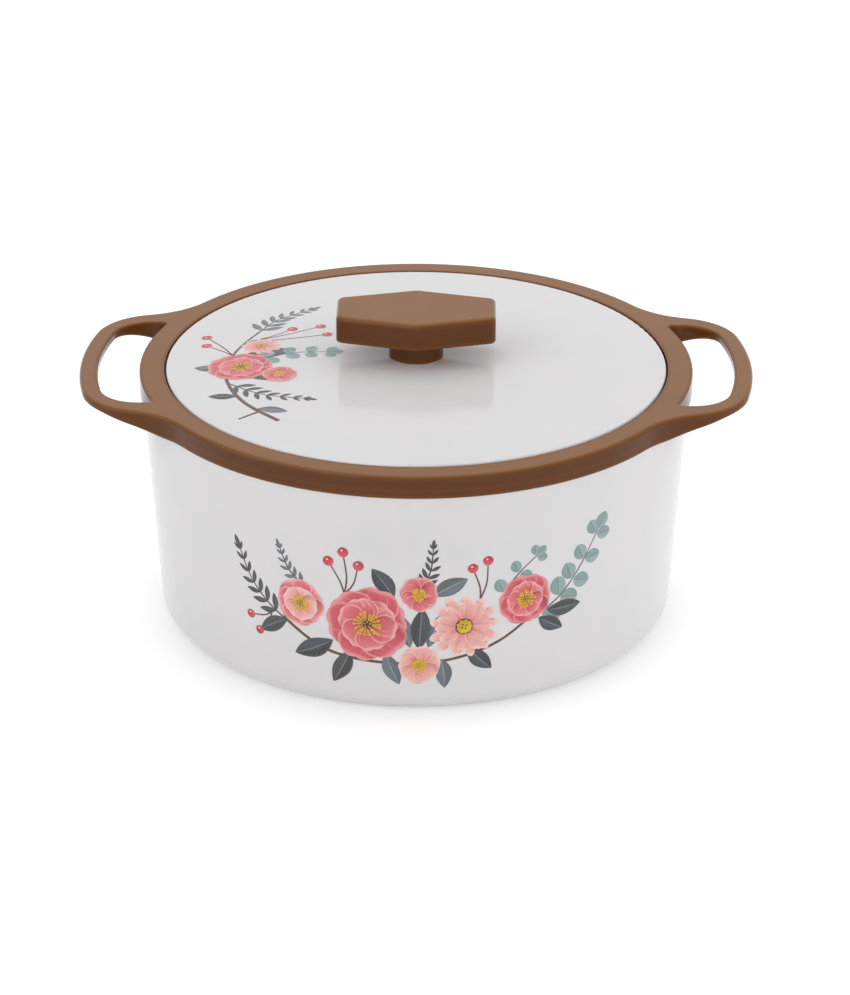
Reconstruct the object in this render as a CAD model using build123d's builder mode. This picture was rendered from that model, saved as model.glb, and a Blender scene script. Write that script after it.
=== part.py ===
"""Round insulated casserole with a recessed lift-off lid, each piece a separate solid.

Millimetres, +Z up. The origin is on the table under the middle of the base, and +X runs through
the handles. Most pieces are turned about Z, from sections drawn as (radius, height).
"""

import os
from math import acos, cos, degrees, radians, sin, sqrt, tan

from build123d import *

# ---------------------------------------------------------------- driving dimensions

# Handle ring: one moulding that caps the body and carries both handle loops
ring_radius = 127.0
ring_top = 118.0
ring_height = 10.5
ring_top_round = 1.7
ring_under_round = 1.0
opening_radius = 115.8  # the hole that the lid drops into
opening_round = 0.6
ring_wall = 2.4

# Handle loops, in plan and in depth
handle_reach = 154.6  # from the middle to the outside of the grip bar
handle_bar = 8.4  # width of the grip bar
handle_bar_depth = 3.3  # the ring's full depth thins to this at the bar
thin_start = 129.0  # radii between which it thins
thin_start_round = 9.0
thin_end = 150.0
thin_end_round = 22.0
handle_corner_angle = 13.2  # degrees from +X to the end of the grip bar's arc
handle_corner_radius = 30.0
handle_hollow_radius = 41.0  # hollow curve between the handle and the ring
grip_hole_radius = 127.2  # the side of the finger hole nearest the lid
grip_hole_half_length = 47.3
grip_hole_outer_round = 18.0
grip_hole_inner_round = 1.5
grip_hole_edge_round = 1.0

# Outer shell
shell_wall = 2.4
shell_foot_radius = 119.1  # the wall's face, carried down to the table
shell_lean = 3.69  # degrees by which the wall leans out
shell_corner = 8.0
neck_radius = 124.2  # the shell's neck stands inside the ring's skirt
foot_inner_radius = 103.0
foot_depth = 4.4
fill_hole_radius = 9.0
snap_bead = 0.7  # bead around the neck that the ring's skirt clicks over
snap_bead_height = 111.5
snap_clearance = 0.3

# Stainless bowl
steel = 0.6
bowl_mouth_radius = 108.0
bowl_floor_radius = 104.6
bowl_floor = 22.0
bowl_corner = 22.0
bowl_mouth_round = 2.5
flange_radius = 119.5
flange_lip = 3.3
flange_lip_round = 1.2

# Ledge that the lid's gasket rests on, and the seal under it
ledge_inner_radius = 108.9
ledge_top = 111.0
ledge_thickness = 2.0
bowl_seal_radius = 116.2
bowl_seal_width = 1.4
bowl_seal_height = 1.4

# Lid
lid_radius = 115.0
lid_crown = 122.4
lid_wall = 2.2
lid_edge_round = 0.9
lid_above_ledge = 0.6
frame_flange = 1.7
frame_bore = 103.7
frame_step_radius = 108.6
frame_rim_height = 3.4
gasket_radius = 109.6
gasket_width = 2.2
gasket_bevel = 0.5
gasket_groove_depth = 1.6
gasket_side_gap = 0.3
plug_radius = 103.4  # the steel plug that hangs into the bowl
plug_bottom = 106.5
plug_corner = 3.0
plug_flange_radius = 108.4
plug_flange_round = 1.0
panel_radius = 78.0  # pressed panel in the plug's floor
panel_rise = 0.8

# Knob
post_radius = 12.5
post_height = 10.4
post_wall = 2.2
post_seat_depth = 0.5  # the post stands in a shallow seat in the lid
post_root_round = 0.8
grip_half_width = 36.4
grip_half_depth = 22.8  # at the middle of the long sides
grip_end_half_depth = 12.9
grip_thickness = 12.6
grip_corner_round = 3.8
grip_middle_round = 6.0
grip_top_round = 2.1
grip_under_round = 1.0
grip_wall = 2.4
grip_rib = 1.6
boss_radius = 5.0
plate_thickness = 1.8

# Knob screw and washer
screw_radius = 2.5
screw_length = 22.0
screw_tip = 2.0
screw_head_radius = 4.7
screw_head_height = 2.8
screw_head_bevel = 1.0
screw_recess_width = 1.1
screw_recess_length = 5.4
screw_recess_depth = 1.7
screw_clearance = 0.2
washer_radius = 8.0
washer_thickness = 1.0
pad_radius = 10.0  # pad inside the lid that the washer bears on
pad_height = 1.0

# Foam hole plug and base cover
plug_head_radius = 12.5
plug_head_thickness = 1.2
plug_shank = 5.0
plug_wall = 1.6
cover_bottom = 1.4
cover_thickness = 1.6
cover_rim_width = 2.4
cover_rib_height = 0.7
cover_rib_width = 1.4
cover_rib_radii = (28.0, 60.0, 92.0)
cover_spokes = 12
cover_notch_radius = 4.0

# Room left between round pieces that sit inside one another
side_gap = 0.1

# ---------------------------------------------------------------- worked-out dimensions

ring_bottom = ring_top - ring_height
ledge_bottom = ledge_top - ledge_thickness
leg_radius = opening_radius + ring_wall
channel_radius = ring_radius - ring_wall
channel_top = ring_top - ring_wall

shell_floor_top = foot_depth + shell_wall
neck_inner = neck_radius - shell_wall
neck_taper_top = ring_bottom - shell_wall
neck_taper_bottom = neck_taper_top - shell_wall
flange_under = ledge_bottom - steel
lip_bottom = ledge_bottom - flange_lip

lid_edge = ring_top
lid_bottom = ledge_top + lid_above_ledge
lid_inner_radius = lid_radius - lid_wall
frame_top = lid_bottom + frame_flange
frame_rim_top = lid_bottom + frame_rim_height
groove_top = lid_bottom + gasket_groove_depth
dome_rise = lid_crown - lid_edge
dome_radius = (lid_radius**2 + dome_rise**2) / (2 * dome_rise)

grip_bottom = lid_crown + post_height
grip_top = grip_bottom + grip_thickness
plate_top = grip_bottom + plate_thickness
post_bottom = lid_crown - post_seat_depth
pad_bottom = lid_crown - lid_wall - pad_height
washer_bottom = pad_bottom - washer_thickness
screw_hole_radius = screw_radius + screw_clearance


def shell_radius(height, inset=0.0):
    """Radius of the leaning wall at a height, moved inwards by inset."""
    return shell_foot_radius + height * tan(radians(shell_lean)) - inset


def dome_height(radius, depth=0.0):
    """Height at a radius on the lid's dome, or on a surface that lies depth inside it."""
    return lid_crown - dome_radius + sqrt((dome_radius - depth) ** 2 - radius**2)


def dome_arc(start_radius, end_radius, depth=0.0):
    """Arc of the dome's section between two radii."""
    middle = (start_radius + end_radius) / 2
    points = [(r, dome_height(r, depth)) for r in (start_radius, middle, end_radius)]
    return ThreePointArc(*points)


def polar(radius, angle):
    """Point at a radius and an angle in degrees."""
    return Vector(radius * cos(radians(angle)), radius * sin(radians(angle)))


def arc_about(centre, start, end):
    """The shorter arc about a centre from start to end."""
    halfway = (start + end) * 0.5
    middle = centre + (halfway - centre).normalized() * (start - centre).length
    return ThreePointArc(start, middle, end)


def corner_at(sketch, radius, height):
    """The corner of a section that is nearest to a radius and a height."""
    return sketch.vertices().sort_by_distance((radius, height))[0]


def border_edges(faces):
    """Edges on the outside of a group of faces: those that only one of the faces has."""
    edges = faces.edges()
    return edges.filter_by(lambda edge: sum(edge.is_same(other) for other in edges) == 1)


def hexagon(inset=0.0):
    """Plan of the knob, a long hexagon with short blunt ends, moved inwards by inset."""
    Polygon(
        (0, grip_half_depth),
        (-grip_half_width, grip_end_half_depth),
        (-grip_half_width, -grip_end_half_depth),
        (0, -grip_half_depth),
        (grip_half_width, -grip_end_half_depth),
        (grip_half_width, grip_end_half_depth),
        align=None,
    )
    if inset:
        offset(amount=-inset, kind=Kind.INTERSECTION, mode=Mode.REPLACE)


def save(piece, name):
    """Labels a finished piece and writes it under its own name."""
    piece.part.label = name
    export_step(piece.part, f"parts/{name}.step")


os.makedirs("parts", exist_ok=True)

# ---------------------------------------------------------------- outer shell

with BuildPart() as outer_shell:
    inner_foot = foot_inner_radius + shell_wall
    with BuildSketch(Plane.XZ) as shell_section:
        with BuildLine():
            Polyline(
                (0, foot_depth),
                (foot_inner_radius, foot_depth),
                (foot_inner_radius, 0),
                (shell_foot_radius, 0),
                (shell_radius(ring_bottom), ring_bottom),
                (neck_radius, ring_bottom),
                (neck_radius, snap_bead_height - snap_bead),
                (neck_radius + snap_bead, snap_bead_height),
                (neck_radius, snap_bead_height + snap_bead),
                (neck_radius, channel_top),
                (neck_inner, channel_top),
                (neck_inner, neck_taper_top),
                (shell_radius(neck_taper_bottom, shell_wall), neck_taper_bottom),
                (shell_radius(shell_wall, shell_wall), shell_wall),
                (inner_foot, shell_wall),
                (inner_foot, shell_floor_top),
                (0, shell_floor_top),
                close=True,
            )
        make_face()
        fillet(corner_at(shell_section, shell_foot_radius, 0), shell_corner)
        inner_corner = corner_at(shell_section, shell_radius(shell_wall, shell_wall), shell_wall)
        fillet(inner_corner, shell_corner - shell_wall)
        fillet(corner_at(shell_section, foot_inner_radius, 0), shell_wall / 2)
    revolve(axis=Axis.Z)
    with Locations((0, 0, foot_depth)):
        Cylinder(fill_hole_radius, 3 * shell_wall, mode=Mode.SUBTRACT)

save(outer_shell, "outer_shell")

# ---------------------------------------------------------------- foam in the body

with BuildPart() as body_foam:
    wall_inset = shell_wall + side_gap
    bowl_outset = steel + side_gap
    foam_foot = foot_inner_radius + wall_inset
    floor_under = bowl_floor - steel
    with BuildSketch(Plane.XZ) as foam_section:
        with BuildLine():
            Polyline(
                (0, shell_floor_top),
                (foam_foot, shell_floor_top),
                (foam_foot, shell_wall),
                (shell_radius(shell_wall, wall_inset), shell_wall),
                (shell_radius(neck_taper_bottom, wall_inset), neck_taper_bottom),
                (neck_inner - side_gap, neck_taper_top),
                (neck_inner - side_gap, lip_bottom - side_gap),
                (flange_radius - bowl_outset, lip_bottom - side_gap),
                (flange_radius - bowl_outset, flange_under),
                (bowl_mouth_radius + bowl_outset, flange_under),
                (bowl_floor_radius + bowl_outset, floor_under),
                (0, floor_under),
                close=True,
            )
        make_face()
        foam_corner = corner_at(foam_section, shell_radius(shell_wall, wall_inset), shell_wall)
        fillet(foam_corner, shell_corner - shell_wall)
        mouth = corner_at(foam_section, bowl_mouth_radius + bowl_outset, flange_under)
        fillet(mouth, bowl_mouth_round)
        lip_corner = corner_at(foam_section, flange_radius - bowl_outset, flange_under)
        fillet(lip_corner, flange_lip_round - steel)
        floor_corner = corner_at(foam_section, bowl_floor_radius + bowl_outset, floor_under)
        fillet(floor_corner, bowl_corner + steel)
    revolve(axis=Axis.Z)
    with Locations((0, 0, shell_floor_top)):
        Cylinder(fill_hole_radius, 2 * plug_shank, mode=Mode.SUBTRACT)

save(body_foam, "body_foam")

# ---------------------------------------------------------------- stainless bowl and its seal

with BuildPart() as inner_bowl:
    with BuildSketch(Plane.XZ):
        with BuildLine():
            FilletPolyline(
                (0, bowl_floor),
                (bowl_floor_radius, bowl_floor),
                (bowl_mouth_radius, ledge_bottom),
                (flange_radius, ledge_bottom),
                (flange_radius, lip_bottom),
                radius=[bowl_corner, bowl_mouth_round, flange_lip_round],
            )
            offset(amount=steel, side=Side.RIGHT)
        make_face()
    revolve(axis=Axis.Z)

save(inner_bowl, "inner_bowl")

with BuildPart() as bowl_seal:
    with BuildSketch(Plane.XY.offset(ledge_bottom)):
        Circle(bowl_seal_radius + bowl_seal_width)
        Circle(bowl_seal_radius, mode=Mode.SUBTRACT)
    extrude(amount=bowl_seal_height)

save(bowl_seal, "bowl_seal")

# ---------------------------------------------------------------- foam hole plug

with BuildPart() as foam_hole_plug:
    shank_radius = fill_hole_radius - side_gap
    shank_top = foot_depth + plug_shank
    with BuildSketch(Plane.XZ) as plug_section:
        with BuildLine():
            Polyline(
                (0, foot_depth - plug_head_thickness),
                (plug_head_radius, foot_depth - plug_head_thickness),
                (plug_head_radius, foot_depth),
                (shank_radius, foot_depth),
                (shank_radius, shank_top),
                (shank_radius - plug_wall, shank_top),
                (shank_radius - plug_wall, foot_depth),
                (0, foot_depth),
                close=True,
            )
        make_face()
        chamfer(corner_at(plug_section, shank_radius, shank_top), plug_wall / 2)
    revolve(axis=Axis.Z)

save(foam_hole_plug, "foam_hole_plug")

# ---------------------------------------------------------------- base cover

with BuildPart() as base_cover:
    cover_radius = foot_inner_radius - side_gap
    cover_top = cover_bottom + cover_thickness
    with BuildSketch(Plane.XY.offset(cover_bottom)):
        Circle(cover_radius)
    extrude(amount=cover_thickness)
    with BuildSketch(Plane.XY.offset(cover_top)):
        Circle(cover_radius)
        Circle(cover_radius - cover_rim_width, mode=Mode.SUBTRACT)
    extrude(amount=foot_depth - cover_top)
    for rib_radius in cover_rib_radii:
        with BuildSketch(Plane.XY.offset(cover_bottom)):
            Circle(rib_radius)
            Circle(rib_radius - cover_rib_width, mode=Mode.SUBTRACT)
        extrude(amount=-cover_rib_height)
    spoke_length = cover_rib_radii[-1] - cover_rib_radii[0]
    spoke_middle = (cover_rib_radii[-1] + cover_rib_radii[0] - cover_rib_width) / 2
    with BuildSketch(Plane.XY.offset(cover_bottom)):
        with PolarLocations(spoke_middle, cover_spokes):
            Rectangle(spoke_length, cover_rib_width)
    extrude(amount=-cover_rib_height)
    with BuildSketch(Plane.XY):
        with PolarLocations(cover_radius, 2, 90):
            Circle(cover_notch_radius)
    extrude(amount=foot_depth, mode=Mode.SUBTRACT)

save(base_cover, "base_cover")

# ---------------------------------------------------------------- handle ring

# The loop's plan: grip bar, rounded corner, then a hollow curve that meets the ring
corner_centre = polar(handle_reach - handle_corner_radius, handle_corner_angle)
hollow_distance = ring_radius + handle_hollow_radius
centres_apart = handle_hollow_radius + handle_corner_radius
hollow_turn = acos(
    (hollow_distance**2 + corner_centre.length**2 - centres_apart**2)
    / (2 * hollow_distance * corner_centre.length)
)
hollow_angle = handle_corner_angle + degrees(hollow_turn)
hollow_centre = polar(hollow_distance, hollow_angle)
bar_middle = polar(handle_reach, handle_corner_angle / 2)
bar_end = polar(handle_reach, handle_corner_angle)
corner_end = corner_centre + (hollow_centre - corner_centre).normalized() * handle_corner_radius
hollow_end = polar(ring_radius, hollow_angle)

with BuildPart() as handle_ring:
    with BuildSketch(Plane.XY.offset(ring_bottom)):
        with BuildLine():
            ThreePointArc(polar(handle_reach, 0), bar_middle, bar_end)
            arc_about(corner_centre, bar_end, corner_end)
            arc_about(hollow_centre, corner_end, hollow_end)
            arc_about(Vector(0, 0), hollow_end, polar(ring_radius, 90))
            mirror(about=Plane.YZ)
            mirror(about=Plane.XZ)
        make_face()
    extrude(amount=ring_height)

    # The loops thin from below towards their grip bars
    thin_height = ring_top - handle_bar_depth
    beyond = handle_reach + handle_bar
    with BuildSketch(Plane.XZ):
        with BuildLine():
            FilletPolyline(
                (ring_radius, ring_bottom),
                (thin_start, ring_bottom),
                (thin_end, thin_height),
                (beyond, thin_height),
                (beyond, ring_bottom - ring_height),
                (ring_radius, ring_bottom - ring_height),
                radius=[thin_start_round, thin_end_round, ring_under_round, ring_under_round],
            )
            Line((ring_radius, ring_bottom - ring_height), (ring_radius, ring_bottom))
        make_face()
    revolve(axis=Axis.Z, mode=Mode.SUBTRACT)

    # Finger holes
    with BuildSketch(Plane.XY.offset(ring_bottom)) as grip_holes:
        Circle(handle_reach - handle_bar)
        Circle(grip_hole_radius, mode=Mode.SUBTRACT)
        Rectangle(3 * handle_reach, 2 * grip_hole_half_length, mode=Mode.INTERSECT)
        fillet(grip_holes.vertices().group_by(SortBy.DISTANCE)[-1], grip_hole_outer_round)
        fillet(grip_holes.vertices().group_by(SortBy.DISTANCE)[0], grip_hole_inner_round)
    extrude(amount=ring_height, mode=Mode.SUBTRACT)

    top_face = handle_ring.faces().sort_by(Axis.Z)[-1]
    fillet(top_face.outer_wire().edges(), ring_top_round)
    top_face = handle_ring.faces().sort_by(Axis.Z)[-1]
    fillet([wire.edges() for wire in top_face.inner_wires()], grip_hole_edge_round)
    under_faces = handle_ring.faces().filter_by(lambda face: face.normal_at().Z < -0.5)
    fillet(border_edges(under_faces), ring_under_round)

    # Lid opening and ledge, the channel for the shell's neck, and the bowl seal's groove
    with BuildSketch(Plane.XZ):
        with BuildLine():
            Polyline(
                (0, ring_bottom - ring_height),
                (channel_radius, ring_bottom - ring_height),
                (channel_radius, snap_bead_height - snap_bead),
                (neck_radius + snap_bead + snap_clearance, snap_bead_height),
                (channel_radius, snap_bead_height + snap_bead),
                (channel_radius, channel_top),
                (leg_radius, channel_top),
                (leg_radius, ledge_bottom),
                (bowl_seal_radius + bowl_seal_width, ledge_bottom),
                (bowl_seal_radius + bowl_seal_width, ledge_bottom + bowl_seal_height),
                (bowl_seal_radius, ledge_bottom + bowl_seal_height),
                (bowl_seal_radius, ledge_bottom),
                (ledge_inner_radius, ledge_bottom),
                (ledge_inner_radius, ledge_top),
                (opening_radius, ledge_top),
                (opening_radius, ring_top + ring_height),
                (0, ring_top + ring_height),
                close=True,
            )
        make_face()
    revolve(axis=Axis.Z, mode=Mode.SUBTRACT)
    top_face = handle_ring.faces().sort_by(Axis.Z)[-1]
    opening_wire = top_face.inner_wires().sort_by(SortBy.LENGTH)[-1]
    fillet(opening_wire.edges(), opening_round)

save(handle_ring, "handle_ring")

# ---------------------------------------------------------------- lid top

with BuildPart() as lid_top:
    seat_radius = post_radius + side_gap
    with BuildSketch(Plane.XZ) as lid_section:
        with BuildLine():
            dome_arc(seat_radius, lid_radius)
            Polyline(
                (lid_radius, dome_height(lid_radius)),
                (lid_radius, lid_bottom),
                (lid_inner_radius, lid_bottom),
                (lid_inner_radius, dome_height(lid_inner_radius, lid_wall)),
            )
            dome_arc(lid_inner_radius, pad_radius, lid_wall)
            Polyline(
                (pad_radius, dome_height(pad_radius, lid_wall)),
                (pad_radius, pad_bottom),
                (screw_hole_radius, pad_bottom),
                (screw_hole_radius, post_bottom),
                (seat_radius, post_bottom),
                (seat_radius, dome_height(seat_radius)),
            )
        make_face()
        fillet(corner_at(lid_section, lid_radius, lid_edge), lid_edge_round)
    revolve(axis=Axis.Z)

save(lid_top, "lid_top")

# ---------------------------------------------------------------- lid frame and gasket

with BuildPart() as lid_frame:
    frame_radius = lid_inner_radius - side_gap
    groove_inner = gasket_radius - gasket_side_gap
    groove_outer = gasket_radius + gasket_width + gasket_side_gap
    with BuildSketch(Plane.XZ) as frame_section:
        with BuildLine():
            Polyline(
                (frame_bore, lid_bottom),
                (groove_inner, lid_bottom),
                (groove_inner, groove_top),
                (groove_outer, groove_top),
                (groove_outer, lid_bottom),
                (frame_radius, lid_bottom),
                (frame_radius, frame_rim_top),
                (frame_step_radius, frame_rim_top),
                (frame_step_radius, frame_top),
                (frame_bore, frame_top),
                close=True,
            )
        make_face()
        fillet(corner_at(frame_section, frame_bore, frame_top), plug_flange_round)
    revolve(axis=Axis.Z)

save(lid_frame, "lid_frame")

with BuildPart() as lid_gasket:
    gasket_outer = gasket_radius + gasket_width
    with BuildSketch(Plane.XZ):
        with BuildLine():
            Polyline(
                (gasket_radius, groove_top),
                (gasket_radius, lid_bottom),
                (gasket_radius + gasket_bevel, ledge_top),
                (gasket_outer - gasket_bevel, ledge_top),
                (gasket_outer, lid_bottom),
                (gasket_outer, groove_top),
                close=True,
            )
        make_face()
    revolve(axis=Axis.Z)

save(lid_gasket, "lid_gasket")

# ---------------------------------------------------------------- lid liner and foam

with BuildPart() as lid_liner:
    with BuildSketch(Plane.XZ):
        with BuildLine():
            FilletPolyline(
                (0, plug_bottom + panel_rise),
                (panel_radius, plug_bottom + panel_rise),
                (panel_radius + 2 * panel_rise, plug_bottom),
                (plug_radius, plug_bottom),
                (plug_radius, frame_top),
                (plug_flange_radius, frame_top),
                radius=[panel_rise, panel_rise, plug_corner, plug_flange_round],
            )
            offset(amount=steel, side=Side.LEFT)
        make_face()
    revolve(axis=Axis.Z)

save(lid_liner, "lid_liner")

with BuildPart() as lid_foam:
    foam_floor = plug_bottom + steel + side_gap
    panel_top = plug_bottom + panel_rise + steel
    foam_wall = plug_radius - steel - side_gap
    foam_outer = lid_inner_radius - side_gap
    foam_depth = lid_wall + side_gap
    head_space_radius = washer_radius + 2 * side_gap
    head_space_bottom = washer_bottom - screw_head_height - side_gap
    with BuildSketch(Plane.XZ) as lid_foam_section:
        with BuildLine():
            dome_arc(foam_outer, pad_radius + side_gap, foam_depth)
            Polyline(
                (pad_radius + side_gap, dome_height(pad_radius + side_gap, foam_depth)),
                (pad_radius + side_gap, pad_bottom - side_gap),
                (head_space_radius, pad_bottom - side_gap),
                (head_space_radius, head_space_bottom),
                (0, head_space_bottom),
                (0, panel_top),
                (panel_radius + 3 * side_gap, panel_top),
                (panel_radius + 2 * panel_rise + 4 * side_gap, foam_floor),
                (foam_wall, foam_floor),
                (foam_wall, frame_top + steel),
                (frame_step_radius, frame_top + steel),
                (frame_step_radius, frame_rim_top),
                (foam_outer, frame_rim_top),
                (foam_outer, dome_height(foam_outer, foam_depth)),
            )
        make_face()
        fillet(corner_at(lid_foam_section, foam_wall, foam_floor), plug_corner - steel)
        shoulder = corner_at(lid_foam_section, foam_wall, frame_top + steel)
        fillet(shoulder, plug_flange_round + steel)
    revolve(axis=Axis.Z)

save(lid_foam, "lid_foam")

# ---------------------------------------------------------------- knob

with BuildPart() as knob_grip:
    cavity_top = grip_top - grip_wall
    with BuildSketch(Plane.XY.offset(grip_bottom)):
        hexagon()
    extrude(amount=grip_thickness)
    uprights = knob_grip.edges().filter_by(Axis.Z).group_by(lambda edge: abs(edge.center().X))
    fillet(uprights[-1], grip_corner_round)
    middles = knob_grip.edges().filter_by(Axis.Z).group_by(lambda edge: abs(edge.center().X))
    fillet(middles[0], grip_middle_round)
    fillet(knob_grip.faces().sort_by(Axis.Z)[-1].edges(), grip_top_round)
    fillet(knob_grip.faces().sort_by(Axis.Z)[0].edges(), grip_under_round)
    with BuildSketch(Plane.XY.offset(grip_bottom)):
        hexagon(grip_wall)
    extrude(amount=cavity_top - grip_bottom, mode=Mode.SUBTRACT)
    with BuildSketch(Plane.XY.offset(plate_top)):
        Circle(boss_radius)
        Rectangle(2 * (grip_half_width - grip_wall / 2), grip_rib)
        Rectangle(grip_rib, 2 * (grip_half_depth - grip_wall))
    extrude(amount=cavity_top - plate_top)
    with BuildSketch(Plane.XY.offset(plate_top)):
        Circle(screw_radius + side_gap)
    extrude(amount=cavity_top - plate_top, mode=Mode.SUBTRACT)

save(knob_grip, "knob_grip")

with BuildPart() as knob_base:
    with BuildSketch(Plane.XY.offset(grip_bottom)):
        hexagon(grip_wall + side_gap)
    extrude(amount=plate_thickness)
    with BuildSketch(Plane.XY.offset(post_bottom)):
        Circle(post_radius)
    extrude(amount=grip_bottom - post_bottom)
    post_root = knob_base.edges().filter_by(GeomType.CIRCLE).sort_by(Axis.Z)[-1]
    fillet(post_root, post_root_round)
    with BuildSketch(Plane.XY.offset(post_bottom)):
        Circle(post_radius - post_wall)
        Circle(boss_radius, mode=Mode.SUBTRACT)
    extrude(amount=grip_bottom - post_bottom, mode=Mode.SUBTRACT)
    with BuildSketch(Plane.XY.offset(post_bottom)):
        Circle(screw_hole_radius)
    extrude(amount=plate_top - post_bottom, mode=Mode.SUBTRACT)

save(knob_base, "knob_base")

# ---------------------------------------------------------------- knob screw and washer

with BuildPart() as knob_washer:
    with BuildSketch(Plane.XY.offset(washer_bottom)):
        Circle(washer_radius)
        Circle(screw_hole_radius, mode=Mode.SUBTRACT)
    extrude(amount=washer_thickness)

save(knob_washer, "knob_washer")

with BuildPart() as knob_screw:
    head_bottom = washer_bottom - screw_head_height
    screw_top = washer_bottom + screw_length
    with BuildSketch(Plane.XZ) as screw_section:
        with BuildLine():
            Polyline(
                (0, head_bottom),
                (screw_head_radius, head_bottom),
                (screw_head_radius, washer_bottom),
                (screw_radius, washer_bottom),
                (screw_radius, screw_top - screw_tip),
                (screw_radius / 2, screw_top),
                (0, screw_top),
                close=True,
            )
        make_face()
        fillet(corner_at(screw_section, screw_head_radius, head_bottom), screw_head_bevel)
    revolve(axis=Axis.Z)
    with BuildSketch(Plane.XY.offset(head_bottom)):
        Rectangle(screw_recess_length, screw_recess_width)
        Rectangle(screw_recess_width, screw_recess_length)
    extrude(amount=screw_recess_depth, mode=Mode.SUBTRACT)

save(knob_screw, "knob_screw")
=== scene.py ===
import random
from math import atan2, ceil, cos, degrees, hypot, pi, radians, sin, sqrt, tan

import bpy
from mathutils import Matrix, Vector


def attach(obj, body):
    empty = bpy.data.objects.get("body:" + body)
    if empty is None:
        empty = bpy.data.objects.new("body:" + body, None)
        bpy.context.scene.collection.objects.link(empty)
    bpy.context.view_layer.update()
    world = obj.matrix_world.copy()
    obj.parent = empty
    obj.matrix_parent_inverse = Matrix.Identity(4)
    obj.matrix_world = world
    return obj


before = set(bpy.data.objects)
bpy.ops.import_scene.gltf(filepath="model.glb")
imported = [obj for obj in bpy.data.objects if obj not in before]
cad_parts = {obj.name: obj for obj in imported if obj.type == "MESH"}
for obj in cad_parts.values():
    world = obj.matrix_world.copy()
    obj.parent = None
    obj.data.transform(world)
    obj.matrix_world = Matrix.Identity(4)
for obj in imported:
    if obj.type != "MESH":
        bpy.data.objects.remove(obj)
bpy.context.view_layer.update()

MM = 0.001


# ---------------------------------------------------------------- colours and nodes


def colour(text):
    """An sRGB hex colour as a linear RGBA value."""
    parts = [int(text[i : i + 2], 16) / 255 for i in (1, 3, 5)]
    return [p / 12.92 if p <= 0.04045 else ((p + 0.055) / 1.055) ** 2.4 for p in parts] + [1.0]


def grey(value):
    """A neutral linear RGBA value."""
    return [value, value, value, 1.0]


def live_output(node):
    """A node's first output that is in use."""
    return next(output for output in node.outputs if output.enabled)


def add(tree, kind, inputs=None, **settings):
    """Adds a node. Its inputs are values, sockets, or nodes whose first live output is linked."""
    node = tree.nodes.new(kind)
    for name, value in settings.items():
        setattr(node, name, value)
    for socket, value in (inputs or {}).items():
        if isinstance(value, bpy.types.Node):
            value = live_output(value)
        if isinstance(value, bpy.types.NodeSocket):
            tree.links.new(value, node.inputs[socket])
        else:
            node.inputs[socket].default_value = value
    return node


def object_place(tree):
    """Coordinates that are fixed to the piece."""
    return add(tree, "ShaderNodeTexCoord").outputs["Object"]


def noise(tree, place, size, detail):
    """Fractal noise with features of about a size."""
    return add(tree, "ShaderNodeTexNoise", {"Vector": place, "Scale": 1 / size, "Detail": detail})


def remap(tree, value, low, high, start=0.0, end=1.0, smooth=False):
    """Takes a value from start..end to low..high and clamps it there."""
    limits = {"From Min": start, "From Max": end, "To Min": low, "To Max": high}
    kind = "SMOOTHSTEP" if smooth else "LINEAR"
    return add(tree, "ShaderNodeMapRange", {"Value": value, **limits}, interpolation_type=kind)


def maths(tree, operation, *values, **settings):
    """One step of arithmetic on values, sockets or nodes."""
    return add(tree, "ShaderNodeMath", dict(enumerate(values)), operation=operation, **settings)


def weighted_sum(tree, *terms):
    """The sum of sources, each times its weight."""
    total = 0.0
    for source, weight in terms:
        total = maths(tree, "MULTIPLY_ADD", source, weight, total)
    return total


def ramp(tree, factor, *stops):
    """A colour ramp through stops, each a position and a linear colour."""
    node = add(tree, "ShaderNodeValToRGB", {"Fac": factor})
    elements = node.color_ramp.elements
    elements[0].position, elements[-1].position = stops[0][0], stops[-1][0]
    for position, _ in stops[1:-1]:
        elements.new(position)
    for element, (_, value) in zip(elements, stops):
        element.color = value
    return node


def two_tones(tree, factor, dark, light, low=0.3, high=0.7):
    """A colour that goes from dark at a low factor to light at a high one."""
    return ramp(tree, factor, (low, colour(dark)), (high, colour(light)))


def blend(tree, factor, under, over, how="MIX"):
    """One colour laid over another."""
    inputs = {"Factor": factor, "A": under, "B": over}
    return add(tree, "ShaderNodeMix", inputs, data_type="RGBA", blend_type=how)


def relief(tree, height, strength, distance):
    """A bump from a height of 0 to 1 that stands for a distance."""
    inputs = {"Height": height, "Strength": strength, "Distance": distance}
    return add(tree, "ShaderNodeBump", inputs)


def new_material(name, **values):
    """A material, its node tree and its Principled shader, with values on the shader's sockets."""
    material = bpy.data.materials.new(name)
    material.use_nodes = True
    tree = material.node_tree
    shader = tree.nodes["Principled BSDF"]
    for socket, value in values.items():
        shader.inputs[socket.replace("_", " ")].default_value = value
    return material, tree, shader


def finish_with(tree, shader, **inputs):
    """Links nodes to the shader's sockets."""
    for socket, node in inputs.items():
        tree.links.new(live_output(node), shader.inputs[socket.replace("_", " ")])


def dress(material, *nodes):
    """Gives CAD nodes a material."""
    for name in nodes:
        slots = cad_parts[name].data.materials
        slots.clear()
        slots.append(material)


# ---------------------------------------------------------------- materials of the CAD pieces

# White polypropylene, injection moulded and polished: a clean gloss with the faint waviness of a
# thick wall that has cooled
white, tree, shader = new_material(
    "white_moulded_polypropylene", IOR=1.49, Specular_IOR_Level=0.35
)
place = object_place(tree)
waves = noise(tree, place, 30 * MM, 1.0)
haze = noise(tree, place, 6 * MM, 4.0)
tone = two_tones(tree, waves, "#E4E3E4", "#E6E4E5")
gloss = remap(tree, haze, 0.1, 0.15)
bump = relief(tree, waves, 0.05, 0.4 * MM)
finish_with(tree, shader, Base_Color=tone, Roughness=gloss, Normal=bump)

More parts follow.
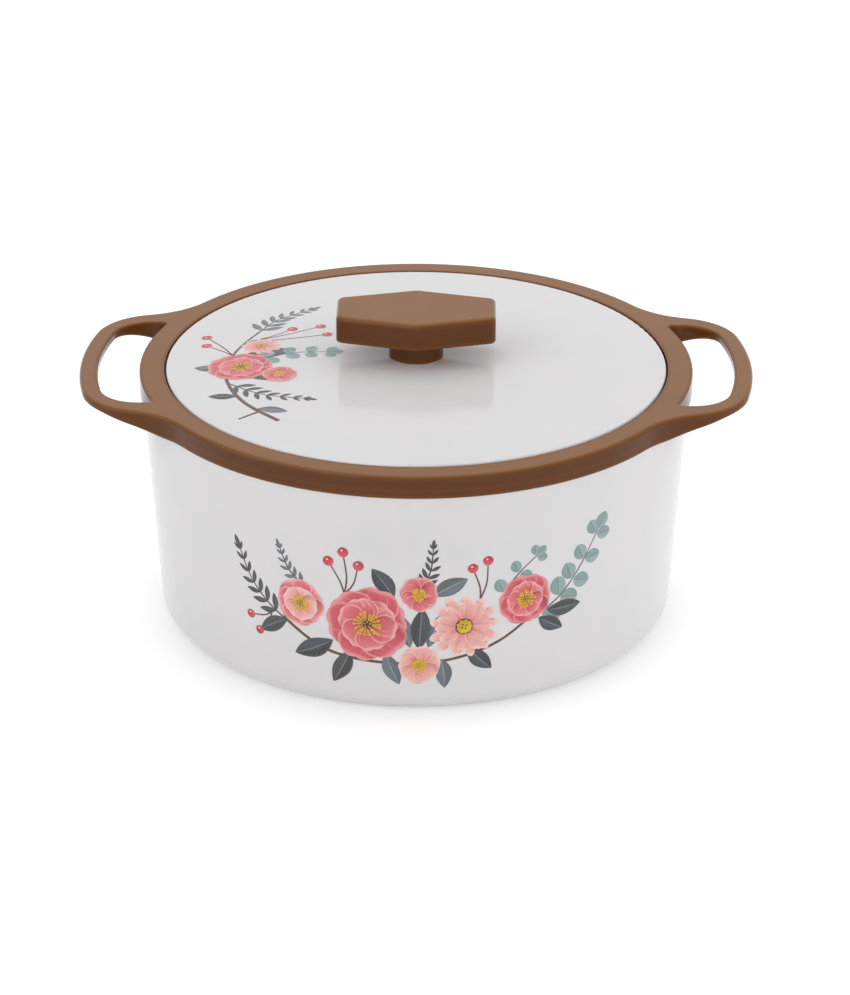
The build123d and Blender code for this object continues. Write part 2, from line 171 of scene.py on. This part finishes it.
# Brown ABS, injection moulded: a warm brown under a semi-gloss, with painted light: upward faces
# are painted lighter and upright walls deeper, and the rounded edges are painted golden for a glow
# of light through the plastic
brown, tree, shader = new_material("brown_moulded_abs", IOR=1.53, Specular_IOR_Level=0.2)
place = object_place(tree)
grain = noise(tree, place, 0.7 * MM, 3.0)
clouds = noise(tree, place, 30 * MM, 2.0)
normal = add(tree, "ShaderNodeNewGeometry").outputs["Normal"]
facing = add(tree, "ShaderNodeSeparateXYZ", {0: normal})
# Painted light: the brown is painted lighter the more a face looks upwards and deeper on the
# upright walls
top_painted_light_and_satin = remap(tree, facing.outputs["Z"], 0.0, 1.0, start=0.35, end=0.96, smooth=True)
tone = two_tones(tree, top_painted_light_and_satin, "#62391A", "#875727", low=0.0, high=1.0)
# Painted glow: occlusion from inside finds the rounded edges, which are painted golden for light
# passing through the plastic
painted_edge_glow_ao = add(
    tree, "ShaderNodeAmbientOcclusion", {"Distance": 2.15 * MM}, inside=True, only_local=True
)
rim = remap(tree, painted_edge_glow_ao.outputs["AO"], 0.0, 0.85, start=0.97, end=0.8)
tone = blend(tree, rim, tone, colour("#764410"))
shift = remap(tree, clouds, 0.97, 1.03, start=0.3, end=0.7)
tone = blend(tree, 1.0, tone, shift, "MULTIPLY")
satin = remap(tree, top_painted_light_and_satin, 0.12, 0.22)
bump = relief(tree, grain, 0.12, 0.05 * MM)
finish_with(tree, shader, Base_Color=tone, Roughness=satin, Normal=bump)

# The white polypropylene where it isn't seen in use, from a spark-eroded mould: a fine even
# grain, drawn at 0.5 mm so that it shows, and no gloss
grained, tree, shader = new_material("white_grained_polypropylene", IOR=1.49)
place = object_place(tree)
grain = noise(tree, place, 0.5 * MM, 2.0)
clouds = noise(tree, place, 25 * MM, 3.0)
tone = two_tones(tree, clouds, "#D6D5D5", "#DBDADA")
satin = remap(tree, grain, 0.42, 0.58)
bump = relief(tree, grain, 0.35, 0.08 * MM)
finish_with(tree, shader, Base_Color=tone, Roughness=satin, Normal=bump)

# Grey polyethylene, injection moulded: a soft waxy plug with a faint sheen
waxy, tree, shader = new_material("grey_moulded_polyethylene", IOR=1.51)
clouds = noise(tree, object_place(tree), 4 * MM, 3.0)
tone = two_tones(tree, clouds, "#BDBDBC", "#C4C4C3")
satin = remap(tree, clouds, 0.4, 0.5)
finish_with(tree, shader, Base_Color=tone, Roughness=satin)


def turned_steel(name, dark, light, line, rough):
    """Steel polished on a lathe: fine lines that run round the axis, line apart, and mottling."""
    material, tree, shader = new_material(name, Metallic=1.0)
    place = object_place(tree)
    split = add(tree, "ShaderNodeSeparateXYZ", {0: place})
    flat = add(tree, "ShaderNodeCombineXYZ", {"X": split.outputs["X"], "Y": split.outputs["Y"]})
    radius = add(tree, "ShaderNodeVectorMath", {0: flat}, operation="LENGTH").outputs["Value"]
    ring = add(tree, "ShaderNodeCombineXYZ", {"X": radius, "Z": split.outputs["Z"]})
    lines = noise(tree, ring, line, 3.0)
    bands = noise(tree, ring, 5 * line, 2.0)
    mottle = noise(tree, place, 18 * MM, 4.0)
    mixed = weighted_sum(tree, (lines, 0.5), (bands, 0.3), (mottle, 0.2))
    tone = two_tones(tree, mixed, dark, light, low=0.35, high=0.65)
    gloss = remap(tree, mixed, rough, 0.7 * rough, start=0.35, end=0.65)
    bump = relief(tree, lines, 0.3, 0.02 * MM)
    finish_with(tree, shader, Base_Color=tone, Roughness=gloss, Normal=bump)
    return material


# Stainless steel, drawn and then polished on a lathe: a bright neutral metal with rings of fine
# lines, drawn 0.8 mm apart so that they show
stainless = turned_steel("lathe_polished_stainless_steel", "#D2D0CC", "#E2E0DC", 0.8 * MM, 0.29)

# Zinc-plated steel, turned and headed: a bluish grey with marks of its cutting, 0.3 mm apart
plated = turned_steel("zinc_plated_steel", "#A9ABAE", "#C6C9CC", 0.3 * MM, 0.38)

# Silicone rubber, compression moulded: a milky soft white, faintly see-through, with a dull skin
rubber, tree, shader = new_material(
    "milky_silicone_rubber", IOR=1.41, Subsurface_Weight=0.25, Subsurface_Scale=1.5 * MM
)
place = object_place(tree)
clouds = noise(tree, place, 8 * MM, 3.0)
skin = noise(tree, place, 0.6 * MM, 2.0)
tone = two_tones(tree, clouds, "#D5D3CC", "#DCDAD4")
dull = remap(tree, skin, 0.45, 0.62)
bump = relief(tree, skin, 0.2, 0.05 * MM)
finish_with(tree, shader, Base_Color=tone, Roughness=dull, Normal=bump)

# Rigid polyurethane foam, poured in place: straw coloured, with closed cells about 1 mm across
foam, tree, shader = new_material("poured_polyurethane_foam", IOR=1.5)
place = object_place(tree)
cells = add(tree, "ShaderNodeTexVoronoi", {"Vector": place, "Scale": 1 / (1.1 * MM)})
clouds = noise(tree, place, 20 * MM, 3.0)
tone = two_tones(tree, clouds, "#E2CD94", "#EBD9A6")
walls = remap(tree, cells, 0.78, 1.05, end=0.7)
tone = blend(tree, 1.0, tone, walls, "MULTIPLY")
rough = remap(tree, cells, 0.75, 0.95)
bump = relief(tree, cells, 0.6, 0.3 * MM)
finish_with(tree, shader, Base_Color=tone, Roughness=rough, Normal=bump)

dress(white, "outer_shell", "lid_top")
dress(brown, "handle_ring", "knob_grip", "knob_base")
dress(grained, "base_cover", "lid_frame")
dress(waxy, "foam_hole_plug")
dress(stainless, "inner_bowl", "lid_liner")
dress(plated, "knob_screw", "knob_washer")
dress(rubber, "bowl_seal", "lid_gasket")
dress(foam, "body_foam", "lid_foam")

# ---------------------------------------------------------------- inks of the floral transfers

# Every ink is a cured screen ink with one even gloss; what is drawn with it is in its colour
INK = {"IOR": 1.5, "Roughness": 0.26}


def brush(tree, count_across, count_along):
    """Place across and along a brush stroke, and streaks that run along it, for an ink's nodes."""
    spot = add(tree, "ShaderNodeUVMap", uv_map="stroke")
    seed = add(tree, "ShaderNodeAttribute", attribute_name="seed").outputs["Fac"]
    split = add(tree, "ShaderNodeSeparateXYZ", {0: spot})
    stretched = add(
        tree,
        "ShaderNodeVectorMath",
        {0: spot, 1: (count_across, count_along, 1), 2: seed},
        operation="MULTIPLY_ADD",
    )
    return split.outputs["X"], split.outputs["Y"], noise(tree, stretched, 1.0, 3.0)


def petal_ink(name, heart, middle, tip, rim):
    """Screen ink drawn as gouache petals: dark at the heart, streaked, with a pale worn rim."""
    material, tree, shader = new_material(name, **INK)
    across, along, streaks = brush(tree, 9.0, 1.6)
    drawn = maths(tree, "ADD", along, remap(tree, streaks, -0.3, 0.3))
    paint = ramp(tree, drawn, (0.06, colour(heart)), (0.46, colour(middle)), (0.95, colour(tip)))
    shade = ramp(tree, across, (0.0, grey(0.62)), (0.32, grey(0.98)), (1.0, grey(1.0)))
    paint = blend(tree, 1.0, paint, shade, "MULTIPLY")
    side = maths(tree, "ABSOLUTE", remap(tree, across, -1.0, 1.0))
    edge = maths(tree, "MAXIMUM", side, along)
    edge = remap(tree, edge, 0.0, 0.75, start=0.84, end=0.97, smooth=True)
    hairs = remap(tree, streaks, 0.0, 0.4, start=0.56, end=0.68)
    pale = maths(tree, "MAXIMUM", edge, hairs)
    finish_with(tree, shader, Base_Color=blend(tree, pale, paint, colour(rim)))
    return material


def leaf_ink(name, dark, light, vein, edge):
    """Screen ink drawn as a leaf: two halves of unlike tone, slanting veins and a thin edge."""
    material, tree, shader = new_material(name, **INK)
    across, along, streaks = brush(tree, 7.0, 2.0)
    out = maths(tree, "ABSOLUTE", remap(tree, across, -1.0, 1.0))
    half = remap(tree, across, 0.1, 0.55, start=0.45, end=0.55)
    body = maths(tree, "ADD", half, remap(tree, streaks, -0.6, 0.6), use_clamp=True)
    paint = blend(tree, body, colour(dark), colour(light))
    slant = weighted_sum(tree, (out, -3.4), (along, 11.0), (streaks, 0.9))
    veins = remap(tree, maths(tree, "PINGPONG", slant, 0.5), 0.0, 0.55, start=0.1, end=0.0)
    rib = remap(tree, out, 0.0, 0.8, start=0.11, end=0.05)
    paint = blend(tree, maths(tree, "MAXIMUM", veins, rib), paint, colour(vein))
    border = remap(tree, across, 0.0, 0.8, start=0.1, end=0.02)
    finish_with(tree, shader, Base_Color=blend(tree, border, paint, colour(edge)))
    return material


def plain_ink(name, dark, light):
    """Screen ink of a twig, stamen or berry: one colour, darker on the stroke's shaded side."""
    material, tree, shader = new_material(name, **INK)
    across, _, streaks = brush(tree, 3.0, 6.0)
    body = maths(tree, "ADD", across, remap(tree, streaks, -0.5, 0.5), use_clamp=True)
    finish_with(tree, shader, Base_Color=blend(tree, body, colour(dark), colour(light)))
    return material


coral = petal_ink("coral_petal_ink", "#A32A3C", "#CB4657", "#DB6470", "#F0A7A3")
rose = petal_ink("rose_petal_ink", "#B83F50", "#D9606B", "#E98389", "#F7C0BA")
blush = petal_ink("blush_petal_ink", "#D9737A", "#EFA29C", "#F6BDB4", "#FBDDD5")
charcoal = leaf_ink("charcoal_leaf_ink", "#34383C", "#565C61", "#7C8488", "#7A4B45")
slate = leaf_ink("slate_leaf_ink", "#5A656B", "#76828A", "#98A4A9", "#6B5B5A")
sage = leaf_ink("sage_leaf_ink", "#86A09F", "#A6BCBA", "#6C8785", "#7E9593")
twig = plain_ink("twig_ink", "#4A332A", "#80604F")
stalk = plain_ink("stalk_ink", "#59646A", "#7D8A8E")
berry = plain_ink("berry_ink", "#B5283E", "#E0626B")
yolk = plain_ink("stamen_ink", "#C79414", "#EBC636")
maroon = plain_ink("maroon_ink", "#3C1A22", "#5E2A33")
blush_dab = plain_ink("highlight_ink", "#F3B9B3", "#F8D5CE")

# ---------------------------------------------------------------- drawing the floral transfers

# A transfer is drawn flat in millimetres, each brush stroke a small grid of its own, and is then
# laid on its wall as a film. Strokes of a higher layer lie a little further out.
PAINT_LIFT = 0.04
LAYER_STEP = 0.015
FILM_THICKNESS = 0.45
WELD_DISTANCE = 1e-4
TWIG_LAYER = 0
LEAFLET_LAYER = 1
SMALL_GRID = {"across": 4, "along": 8}
strokes = []
blanks = {}
draw = random.Random(7)


def blank_stroke(across, along):
    """An unshaped stroke, a unit grid whose map tells how far across and along a point is."""
    bpy.ops.object.select_all(action="DESELECT")
    bpy.ops.mesh.primitive_grid_add(x_subdivisions=across, y_subdivisions=along, size=1)
    blank = bpy.context.object
    mesh = blank.data
    mesh.uv_layers[0].name = "stroke"
    mesh.attributes.new("seed", "FLOAT", "POINT")
    bpy.data.objects.remove(blank)
    return mesh


def stroke(shape, ink, layer, across=6, along=10):
    """Lays one brush stroke; shape(u, t) places its points, u from -1 to 1 and t from 0 to 1."""
    size = (across, along)
    if size not in blanks:
        blanks[size] = blank_stroke(across, along)
    mesh = blanks[size].copy()
    lift = PAINT_LIFT + LAYER_STEP * layer
    for vertex in mesh.vertices:
        x, y = shape(2 * vertex.co.x, vertex.co.y + 0.5)
        vertex.co = (x, y, lift)
    seed = draw.uniform(0, 90)
    mesh.attributes["seed"].data.foreach_set("value", [seed] * len(mesh.vertices))
    mesh.materials.append(ink)
    piece = bpy.data.objects.new("stroke", mesh)
    bpy.context.scene.collection.objects.link(piece)
    strokes.append(piece)


def turned(origin, angle, x, y):
    """A point x to the right of and y along a direction in degrees from an origin."""
    c, s = cos(radians(angle)), sin(radians(angle))
    return origin[0] + y * c + x * s, origin[1] + y * s - x * c


def petal(origin, angle, length, width, ink, layer, crown=0.16, notch=0.0, lean=0.0):
    """A broad petal from its narrow base at origin, with a rounded or notched tip."""

    def shape(u, t):
        half = width / 2 * sin(pi * (0.09 + 0.7 * t**0.95))
        dip = notch * max(0.0, 1 - (u / 0.45) ** 2) * t**6
        y = length * (t + crown * (1 - u * u) * t**3 - dip) / (1 + crown)
        return turned(origin, angle, u * half + lean * length * t * t, y)

    stroke(shape, ink, layer)


def leaf(origin, angle, length, width, ink, layer, bend=0.0, roundness=0.85, across=6, along=12):
    """A leaf from its stalk at origin; low roundness numbers give blunt ends, high ones points."""

    def shape(u, t):
        t = (1 - cos(pi * t)) / 2
        half = width / 2 * sin(pi * t) ** roundness
        return turned(origin, angle, u * half + bend * length * t * t, length * t)

    stroke(shape, ink, layer, across, along)


def dot(centre, radius, ink, layer, angle=40):
    """A round dab of paint."""
    start = turned(centre, angle, 0, -radius)
    leaf(start, angle, 2 * radius, 2 * radius, ink, layer, roundness=0.5, **SMALL_GRID)


def along_line(points, t):
    """Point and direction, in degrees, a share t of the way along a smooth line through points."""
    spans = len(points) - 1
    i = min(int(t * spans), spans - 1)
    f = t * spans - i
    before, start, end, after = (
        Vector(points[j]) for j in (max(i - 1, 0), i, i + 1, min(i + 2, spans))
    )
    m0, m1 = (end - before) / 2, (after - start) / 2
    h = f * f * (3 - 2 * f)
    place = start * (1 - h) + end * h + m0 * (f**3 - 2 * f**2 + f) + m1 * (f**3 - f**2)
    slope = (
        (end - start) * (6 * f - 6 * f * f)
        + m0 * (3 * f**2 - 4 * f + 1)
        + m1 * (3 * f**2 - 2 * f)
    )
    return place, degrees(atan2(slope.y, slope.x))


def stem(points, start_width, end_width, ink=twig):
    """A twig through points, tapering from one width to another."""
    length = sum(hypot(b[0] - a[0], b[1] - a[1]) for a, b in zip(points, points[1:]))

    def shape(u, t):
        place, angle = along_line(points, t)
        half = (start_width + (end_width - start_width) * t) / 2
        return turned(place, angle, u * half, 0)

    stroke(shape, ink, TWIG_LAYER, across=2, along=max(4, ceil(length / 2.5)))


def frond(points, pairs, first, last, ink):
    """A fern frond: leaflets in pairs that shorten towards the tip of a thin stem."""
    root, end, tip = 0.16, 0.96, 0.985
    spread, closing, slim = 52, 12, 0.34
    stem(points, 0.9, 0.5)
    for i in range(pairs):
        share = i / (pairs - 1)
        place, angle = along_line(points, root + (end - root) * share)
        size = first + (last - first) * share
        for side in (-1, 1):
            turn = angle + side * (spread - closing * share) + draw.uniform(-5, 5)
            bend = 0.1 * side
            leaf(place, turn, size, size * slim, ink, LEAFLET_LAYER, bend=bend, **SMALL_GRID)
    place, angle = along_line(points, tip)
    leaf(place, angle, last * 1.5, last * slim * 1.6, ink, LEAFLET_LAYER, **SMALL_GRID)


def coin_sprig(points, pairs, first, last, ink):
    """A eucalyptus sprig: blunt round leaves in pairs along a stem."""
    root, run, tip = 0.1, 0.82, 0.99
    spread, gap = 58, 1.0
    stem(points, 1.0, 0.5, stalk)
    for i in range(pairs):
        share = i / (pairs - 1)
        place, angle = along_line(points, root + run * share)
        size = first + (last - first) * share
        for side in (-1, 1):
            turn = angle + side * spread + draw.uniform(-9, 9)
            start = turned(place, turn, 0, gap)
            layer = LEAFLET_LAYER + (side > 0)
            leaf(start, turn, size, size * 0.86, ink, layer, roundness=0.55)
    place, angle = along_line(points, tip)
    leaf(place, angle, last * 1.1, last * 0.9, ink, LEAFLET_LAYER + 2, roundness=0.6)


def berries(root, tips, size):
    """Round berries with three sepals each, on thin stalks from one root."""
    for tip in tips:
        bow = ((root[0] + tip[0]) / 2 + 1.2, (root[1] + tip[1]) / 2 - 0.8)
        stem([root, bow, tip], 0.8, 0.6)
        angle = degrees(atan2(tip[1] - bow[1], tip[0] - bow[0]))
        centre = turned(tip, angle, 0, size * 0.8)
        start = turned(tip, angle, 0, -0.4)
        for side in (-1, 0, 1):
            leaf(start, angle + side * 48, size * 1.1, 1.2, slate, LEAFLET_LAYER)
        dot(centre, size, berry, LEAFLET_LAYER + 1, angle=angle - 90)
        gleam = turned(centre, 120, 0, size * 0.42)
        dot(gleam, size * 0.22, blush_dab, LEAFLET_LAYER + 2)


def stamens(centre, inner, outer, count, layer):
    """A ring of thin filaments with dabs of pollen at their ends."""
    for i in range(count):
        angle = 360 * i / count + draw.uniform(-7, 7)
        reach = outer * draw.uniform(0.78, 1.08)
        root = turned(centre, angle, 0, inner)
        leaf(root, angle, reach - inner, 0.7, yolk, layer, roundness=0.4, across=2, along=4)
        dot(turned(centre, angle, 0, reach), 0.68, yolk, layer + 1)


def blossom(centre, radius, count, ink, inner_ink, layer, turn, rows=2):
    """An open blossom: overlapping broad petals in rows, a dark eye and yellow stamens."""
    for row in range(rows):
        reach = radius * (1.0, 0.7)[row]
        width = reach * 2 * sin(pi / count) * (1.22, 1.2)[row]
        for i in range(count):
            angle = turn + (i + row / 2) * 360 / count + draw.uniform(-4, 4)
            size = reach * draw.uniform(0.95, 1.04)
            petal(
                turned(centre, angle, 0, radius * 0.04),
                angle,
                size,
                width * draw.uniform(0.95, 1.05),
                (ink, inner_ink)[row],
                layer + row * count + i,
                notch=0.1,
                lean=draw.uniform(-0.06, 0.06),
            )
    top = layer + rows * count
    dot(centre, radius * 0.17, maroon, top)
    stamens(centre, radius * 0.1, radius * 0.34, round(9 + radius * 0.5), top + 1)
    for i in range(5):
        dot(turned(centre, i * 72 + 20, 0, radius * 0.07), 0.42, yolk, top + 3)


def daisy(centre, radius, count, ink, layer, turn):
    """A daisy: two rows of narrow petals round a domed yellow centre."""
    for row in range(2):
        for i in range(count):
            angle = turn + (i + row / 2) * 360 / count + draw.uniform(-3, 3)
            petal(
                turned(centre, angle, 0, radius * 0.12),
                angle,
                radius * (0.9, 0.72)[row] * draw.uniform(0.93, 1.03),
                radius * (0.36, 0.3)[row],
                ink,
                layer + row * 3 + i % 3,
                crown=0.12,
            )
    dot(centre, radius * 0.26, twig, layer + 7)
    dot(centre, radius * 0.21, yolk, layer + 8)
    for i in range(9):
        dot(turned(centre, i * 40, 0, radius * 0.2), 0.5, yolk, layer + 9)
    for i in range(4):
        dot(turned(centre, i * 90 + 30, 0, radius * 0.07), 0.4, maroon, layer + 9)


def lay_transfer(name, wall, body):
    """Joins the drawn strokes into one sheet of paint on a wall, and lets it move with a body."""
    bpy.ops.object.select_all(action="DESELECT")
    for piece in strokes:
        piece.select_set(True)
    bpy.context.view_layer.objects.active = strokes[0]
    bpy.ops.object.join()
    piece = bpy.context.object
    piece.name = name
    piece.data.name = name
    strokes.clear()
    bpy.ops.object.mode_set(mode="EDIT")
    bpy.ops.mesh.select_all(action="SELECT")
    bpy.ops.mesh.remove_doubles(threshold=WELD_DISTANCE)
    bpy.ops.object.mode_set(mode="OBJECT")
    for vertex in piece.data.vertices:
        vertex.co = Vector(wall(*vertex.co)) * MM
    film = piece.modifiers.new("film", "SOLIDIFY")
    film.thickness = FILM_THICKNESS * MM
    film.offset = -1
    bpy.ops.object.modifier_apply(modifier="film")
    bpy.ops.object.shade_smooth_by_angle(angle=radians(35))
    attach(piece, body)


# The walls that the transfers are laid on, in millimetres
SHELL_FOOT_RADIUS = 119.1
SHELL_LEAN = radians(3.69)
PRINT_RADIUS = 122.5
LID_RADIUS = 115.0
LID_CROWN = 122.4
LID_RISE = 4.4
DOME_RADIUS = (LID_RADIUS**2 + LID_RISE**2) / (2 * LID_RISE)


def on_shell(x, y, lift):
    """Lays a flat drawing round the front of the leaning wall; y is the height on it."""
    around = x / PRINT_RADIUS
    radius = SHELL_FOOT_RADIUS + y * tan(SHELL_LEAN) + lift * cos(SHELL_LEAN)
    return radius * sin(around), -radius * cos(around), y - lift * sin(SHELL_LEAN)


def on_lid(x, y, lift):
    """Lays a flat drawing on the lid's dome."""
    return x, y, LID_CROWN - DOME_RADIUS + sqrt((DOME_RADIUS + lift) ** 2 - x * x - y * y)


# Garland round the front of the body, low in the middle and rising to both ends
stem([(-60, 41), (-40, 29), (-14, 25), (14, 26), (38, 33), (56, 45)], 1.5, 1.2)
frond([(-52, 36), (-66, 45), (-76, 56), (-82, 70)], 8, 9.5, 4.5, charcoal)
frond([(-48, 58), (-56, 66), (-60, 76)], 6, 6.0, 3.0, slate)
coin_sprig([(56, 42), (69, 51), (79, 63), (88, 79)], 5, 10.0, 7.5, sage)
coin_sprig([(40, 56), (47, 66), (56, 74)], 3, 7.0, 5.0, sage)
frond([(4, 62), (8, 72), (9, 83)], 6, 6.5, 3.0, charcoal)
berries((-30, 58), [(-36, 72), (-30, 77), (-24, 71)], 2.5)
berries((30, 56), [(27, 70), (33, 73)], 2.4)
berries((-66, 42), [(-76, 38), (-72, 32)], 2.2)
leaf((-58, 40), 205, 17, 7.5, charcoal, 2, bend=-0.1)
leaf((-36, 34), 215, 21, 9.5, charcoal, 3, bend=0.12)
leaf((-28, 30), 250, 19, 8.5, charcoal, 2, bend=0.1)
leaf((-12, 30), 285, 17, 8, slate, 2, bend=-0.1)
leaf((13, 27), 282, 15, 7.5, slate, 2, bend=0.1)
leaf((25, 32), 306, 16, 8, charcoal, 3, bend=-0.12)
leaf((62, 45), 350, 18, 8, charcoal, 3, bend=-0.12)
leaf((58, 42), 322, 15, 7.5, charcoal, 2, bend=-0.1)
leaf((-8, 58), 118, 17, 8.5, charcoal, 2, bend=-0.1)
leaf((9, 59), 33, 17, 8.5, slate, 2, bend=0.1)
leaf((-1, 33), 104, 17, 7, slate, 1)
leaf((7, 33), 72, 17, 7, slate, 1)
leaf((3, 32), 88, 21, 9, charcoal, 2, bend=0.04)
blossom((-20, 44), 18.5, 6, coral, rose, 5, turn=12)
daisy((23, 43), 16, 13, blush, 6, turn=5)
blossom((-51, 50), 11.5, 5, rose, blush, 6, turn=40)
blossom((51, 53), 12.5, 5, coral, rose, 6, turn=10)
blossom((3, 60), 8.5, 5, rose, blush, 6, turn=80, rows=1)
blossom((3, 24), 9.5, 5, blush, blush, 6, turn=25, rows=1)
lay_transfer("floral_print_body", on_shell, "base")

# Spray along the left of the lid
stem([(-60, -71), (-77, -50), (-86, -24), (-84, 4), (-74, 30)], 2.2, 1.0)
stem([(-69, -61), (-78, -68)], 1.5, 1.1)
frond([(-74.6, 28), (-66, 45), (-51, 58)], 7, 10.5, 4.5, slate)
frond([(-84.6, -30), (-69, -43), (-49, -49)], 7, 9, 4, charcoal)
coin_sprig([(-72, -3), (-56, 3), (-40, 3)], 4, 8.0, 6.0, sage)
berries((-84.5, 2), [(-96, 14), (-97, 24)], 2.6)
berries((-79, 18), [(-60, 31), (-47, 34), (-44, 24)], 2.6)
leaf((-82, -2), 24, 28, 10.5, charcoal, 2, bend=0.08)
leaf((-80, -20), -14, 26, 10, charcoal, 3, bend=-0.08)
leaf((-88, -14), 160, 14, 7, slate, 2, bend=-0.08)
leaf((-80, -44), 182, 13, 6, charcoal, 2, bend=0.1)
leaf((-70, -58), 350, 14, 6, slate, 2, bend=0.1)
blossom((-80, -12), 15, 6, coral, rose, 5, turn=8)
daisy((-72, 12), 9.5, 11, blush, 6, turn=5)
blossom((-62, -22), 8, 5, rose, blush, 30, turn=40, rows=1)
lay_transfer("floral_print_lid", on_lid, "lid")

# ---------------------------------------------------------------- floor, light and camera

FLOOR_SIZE = 16
PAPER_GLOW = 1.2
MIRRORED_GLOW_SHARE = 0.5
# The paper's glow fades towards the object, centred a little in front of it: a painted shade round
# the foot over the real shadow
FADE_SHIFT = 12 * MM
FADE_REACH = 2.0
FADE = ((105 * MM, 0.27), (122 * MM, 0.55), (150 * MM, 0.72), (FADE_REACH, 0.9))
LAMP_AIM = Vector((0, 0, 70 * MM))
CAMERA_LENS = 129.51
CAMERA_PLACE = (0.01858, -1.52095, 0.75749)
CAMERA_TURN = (65.0391, -0.1508, 0.6105)


def seen_directly(tree, rays):
    """A node that is 1 for rays from the camera, from a mirror or through glass, and else 0."""
    seen = rays.outputs["Is Camera Ray"]
    for kind in ("Is Glossy Ray", "Is Transmission Ray"):
        seen = maths(tree, "MAXIMUM", seen, rays.outputs[kind])
    return seen


bpy.ops.object.select_all(action="DESELECT")
bpy.ops.mesh.primitive_plane_add(size=FLOOR_SIZE)
floor = bpy.context.object
floor.name = "studio_floor"
paper, tree, shader = new_material("studio_paper")
tree.nodes.remove(shader)
rays = add(tree, "ShaderNodeLightPath")
seen = seen_directly(tree, rays)
# White paper. Its own white takes over from the object's shadow with the distance from the
# object, soonest at its sides and back, and is at least half of what reflections show. Near the
# object, most in front of it, the paper glows less: this lets the real shadow show there and is
# also a painted shade round the foot.
place = object_place(tree)
place = add(tree, "ShaderNodeVectorMath", {0: place, 1: (0, FADE_SHIFT, 0)}, operation="ADD")
away = add(tree, "ShaderNodeVectorMath", {0: place}, operation="LENGTH").outputs["Value"]
reach = remap(tree, away, 0.0, 1.0, end=FADE_REACH)
share = ramp(tree, reach, *((distance / FADE_REACH, grey(part)) for distance, part in FADE))
clear = maths(tree, "MULTIPLY", rays.outputs["Is Glossy Ray"], MIRRORED_GLOW_SHARE)
share = maths(tree, "MULTIPLY", seen, maths(tree, "MAXIMUM", share, clear))
lit = add(tree, "ShaderNodeBsdfDiffuse", {"Color": grey(0.93)})
glow = add(tree, "ShaderNodeEmission", {"Color": grey(1.0), "Strength": PAPER_GLOW})
mixed = add(tree, "ShaderNodeMixShader", {0: share, 1: lit, 2: glow})
tree.links.new(mixed.outputs[0], tree.nodes["Material Output"].inputs["Surface"])
floor.data.materials.append(paper)

# A tent of white cloth, plain white where it is seen. It lights the object more from the front
# and the back than from the sides and overhead.
world = bpy.data.worlds.new("studio")
world.use_nodes = True
tree = world.node_tree
seen = seen_directly(tree, add(tree, "ShaderNodeLightPath"))
direction = add(tree, "ShaderNodeTexCoord").outputs["Generated"]
facing = add(tree, "ShaderNodeSeparateXYZ", {0: direction})
ahead = maths(tree, "MULTIPLY", facing.outputs["Y"], facing.outputs["Y"])
tent = remap(tree, ahead, 0.35, 0.8)
strength = add(tree, "ShaderNodeMix", {"Factor": seen, "A": tent, "B": 1.0})
background = tree.nodes["Background"]
background.inputs["Color"].default_value = grey(1.0)
finish_with(tree, background, Strength=strength)
bpy.context.scene.world = world


def softbox(name, place, size, power, mirrored=True):
    """A rectangular area lamp turned towards the object; if mirrored, glossy surfaces show it."""
    lamp = bpy.data.lights.new(name, "AREA")
    lamp.shape = "RECTANGLE"
    lamp.size, lamp.size_y = size
    lamp.energy = power
    holder = bpy.data.objects.new(name, lamp)
    bpy.context.scene.collection.objects.link(holder)
    holder.location = place
    holder.rotation_euler = (LAMP_AIM - Vector(place)).to_track_quat("-Z", "Y").to_euler()
    holder.visible_glossy = mirrored


softbox("softbox_top", (0.0, 0.4, 1.6), (1.4, 1.4), 6.2)
softbox("softbox_left", (-1.25, -0.75, 1.35), (1.4, 1.1), 5.4)
softbox("softbox_front", (-0.95, -1.6, 1.15), (0.6, 0.38), 2.0)
softbox("fill_left", (-1.65, -0.45, 0.7), (0.8, 1.3), 2.4)
# The light from the right comes from two lamps in one place. Only the weaker one is mirrored,
# because all of it, mirrored in the lid at a low angle, would burn out.
softbox("fill_right", (1.65, -0.4, 0.74), (2.1, 1.45), 11.4, mirrored=False)
softbox("gleam_right", (1.65, -0.4, 0.74), (2.1, 1.45), 3.2)
softbox("fill_front", (-0.5, -2.05, 0.38), (1.8, 0.6), 1.1)
softbox("fill_back", (0.0, 2.05, 0.45), (1.6, 0.5), 3.0, mirrored=False)

lens = bpy.data.cameras.new("camera")
lens.lens = CAMERA_LENS
camera = bpy.data.objects.new("camera", lens)
bpy.context.scene.collection.objects.link(camera)
camera.location = CAMERA_PLACE
camera.rotation_euler = [radians(angle) for angle in CAMERA_TURN]
bpy.context.scene.camera = camera
bpy.context.scene.view_settings.view_transform = "Standard"
